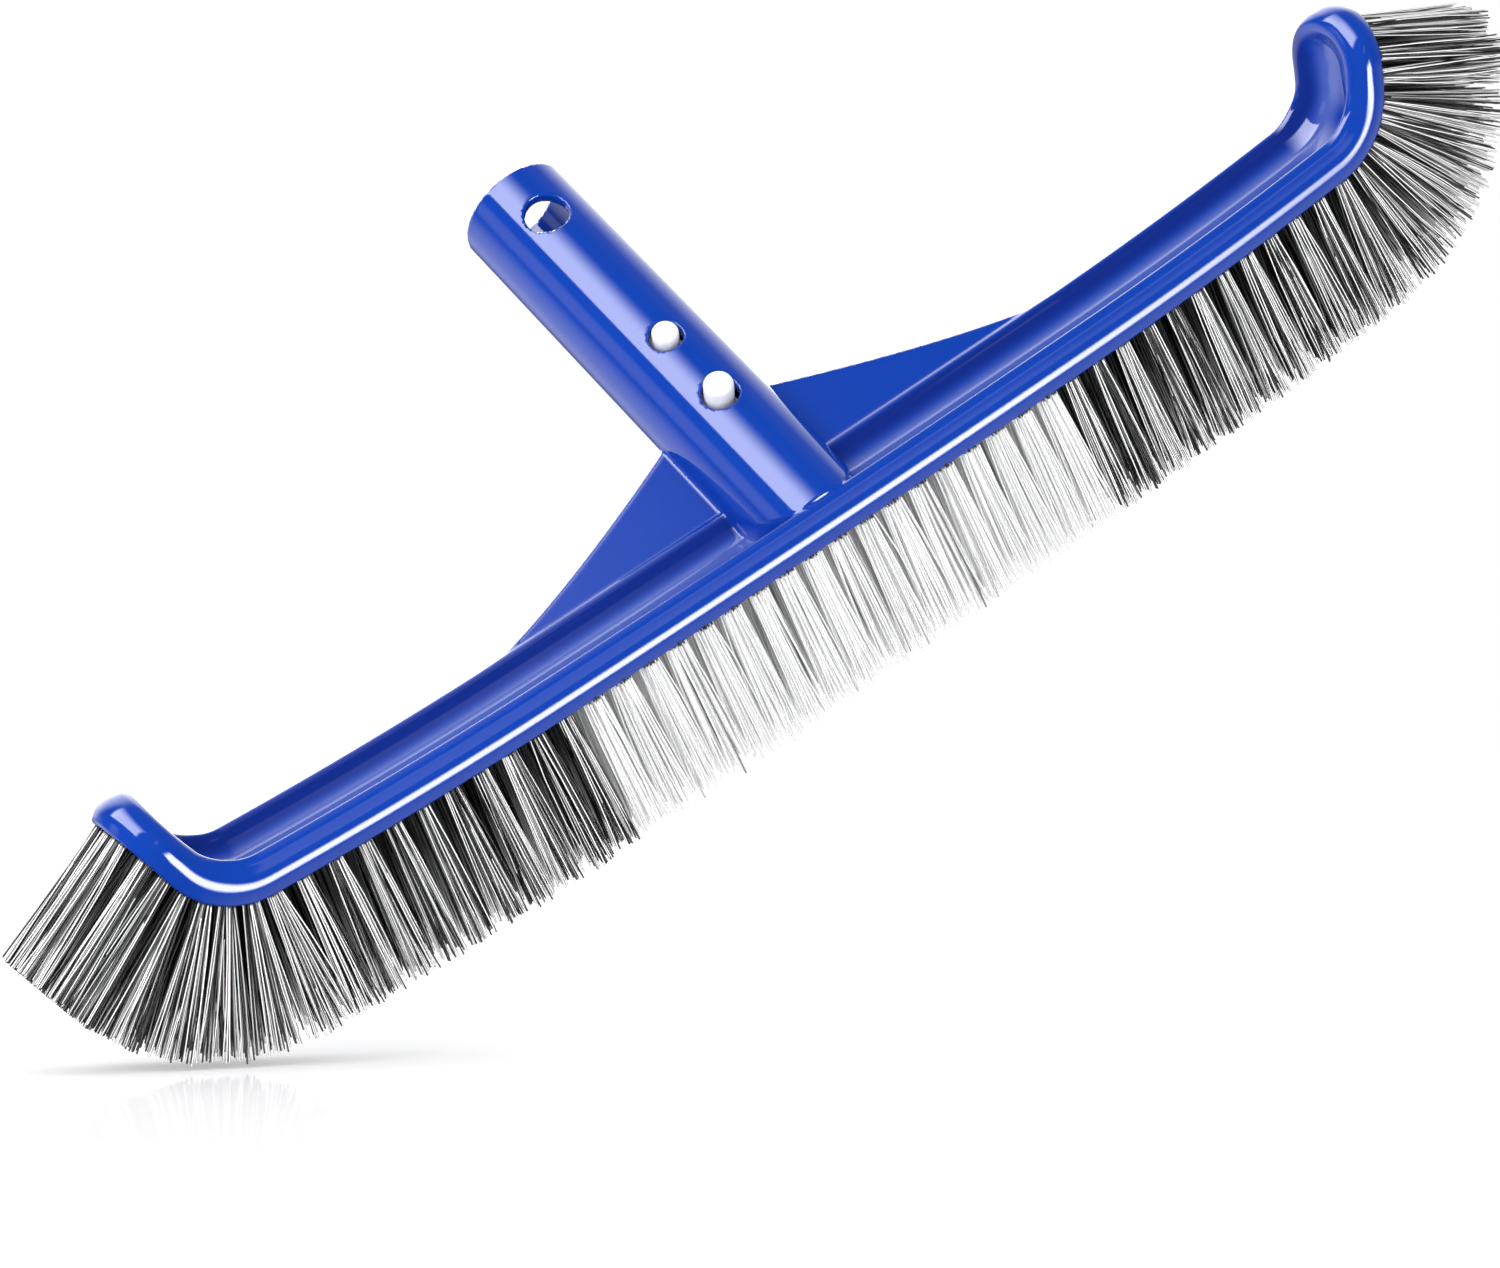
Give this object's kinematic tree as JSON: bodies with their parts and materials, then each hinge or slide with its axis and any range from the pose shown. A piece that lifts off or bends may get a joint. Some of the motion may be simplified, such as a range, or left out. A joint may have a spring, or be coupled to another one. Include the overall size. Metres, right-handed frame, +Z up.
{
  "type": "pool wall brush",
  "caption": "Curved pool wall brush: blue tray with hooked ends and leaning pole socket with webs, spring clip with buttons, grey and white nylon tufts.",
  "frame": {"origin": "middle of the flat tip face of the middle cross row of tufts, where the upright brush touches a flat floor", "axes": "+X along the brush, +Z up through the tray's back, away from the bristle tips, and the pole socket leans towards +Y"},
  "size_m": [0.4436, 0.1253, 0.1234],
  "materials": {
    "body_blue": "glossy moulded royal blue",
    "clip_white": "smooth white moulding",
    "bristle_white": "translucent white nylon filament",
    "bristle_grey": "grey nylon filament"
  },
  "bodies": {
    "head": {"brush_body": "body_blue", "clip_back_leg": "clip_white", "tuft_row_01": "bristle_grey", "tuft_row_02": "bristle_grey", "tuft_row_03": "bristle_grey", "tuft_row_04": "bristle_grey", "tuft_row_05": "bristle_grey", "tuft_row_06": "bristle_grey", "tuft_row_07": "bristle_grey", "tuft_row_08": "bristle_grey", "tuft_row_09": "bristle_grey", "tuft_row_10": "bristle_grey", "tuft_row_11": "bristle_grey", "tuft_row_12": "bristle_grey", "tuft_row_13": "bristle_grey", "tuft_row_14": "bristle_grey", "tuft_row_15": "bristle_grey", "tuft_row_16": "bristle_grey", "tuft_row_17": "bristle_grey", "tuft_row_18": "bristle_grey", "tuft_row_19": "bristle_white", "tuft_row_20": "bristle_white", "tuft_row_21": "bristle_white", "tuft_row_22": "bristle_white", "tuft_row_23": "bristle_white", "tuft_row_24": "bristle_white", "tuft_row_25": "bristle_white", "tuft_row_26": "bristle_white", "tuft_row_27": "bristle_white", "tuft_row_28": "bristle_white", "tuft_row_29": "bristle_white", "tuft_row_30": "bristle_white", "tuft_row_31": "bristle_white", "tuft_row_32": "bristle_white", "tuft_row_33": "bristle_white", "tuft_row_34": "bristle_white", "tuft_row_35": "bristle_white", "tuft_row_36": "bristle_white", "tuft_row_37": "bristle_grey", "tuft_row_38": "bristle_grey", "tuft_row_39": "bristle_grey", "tuft_row_40": "bristle_grey", "tuft_row_41": "bristle_grey", "tuft_row_42": "bristle_grey", "tuft_row_43": "bristle_grey", "tuft_row_44": "bristle_grey", "tuft_row_45": "bristle_grey", "tuft_row_46": "bristle_grey", "tuft_row_47": "bristle_grey", "tuft_row_48": "bristle_grey", "tuft_row_49": "bristle_grey", "tuft_row_50": "bristle_grey", "tuft_row_51": "bristle_grey", "tuft_row_52": "bristle_grey", "tuft_row_53": "bristle_grey", "tuft_row_54": "bristle_grey", "tuft_row_55": "bristle_grey"},
    "clip_arm": {"clip_button_arm": "clip_white"}
  },
  "joints": [
    {"name": "clip_press", "type": "hinge", "parent": "head", "child": "clip_arm", "pos_m": [0, 0.06194, 0.09376], "axis": [1, 0, 0], "range_deg": [0, 6]}
  ]
}
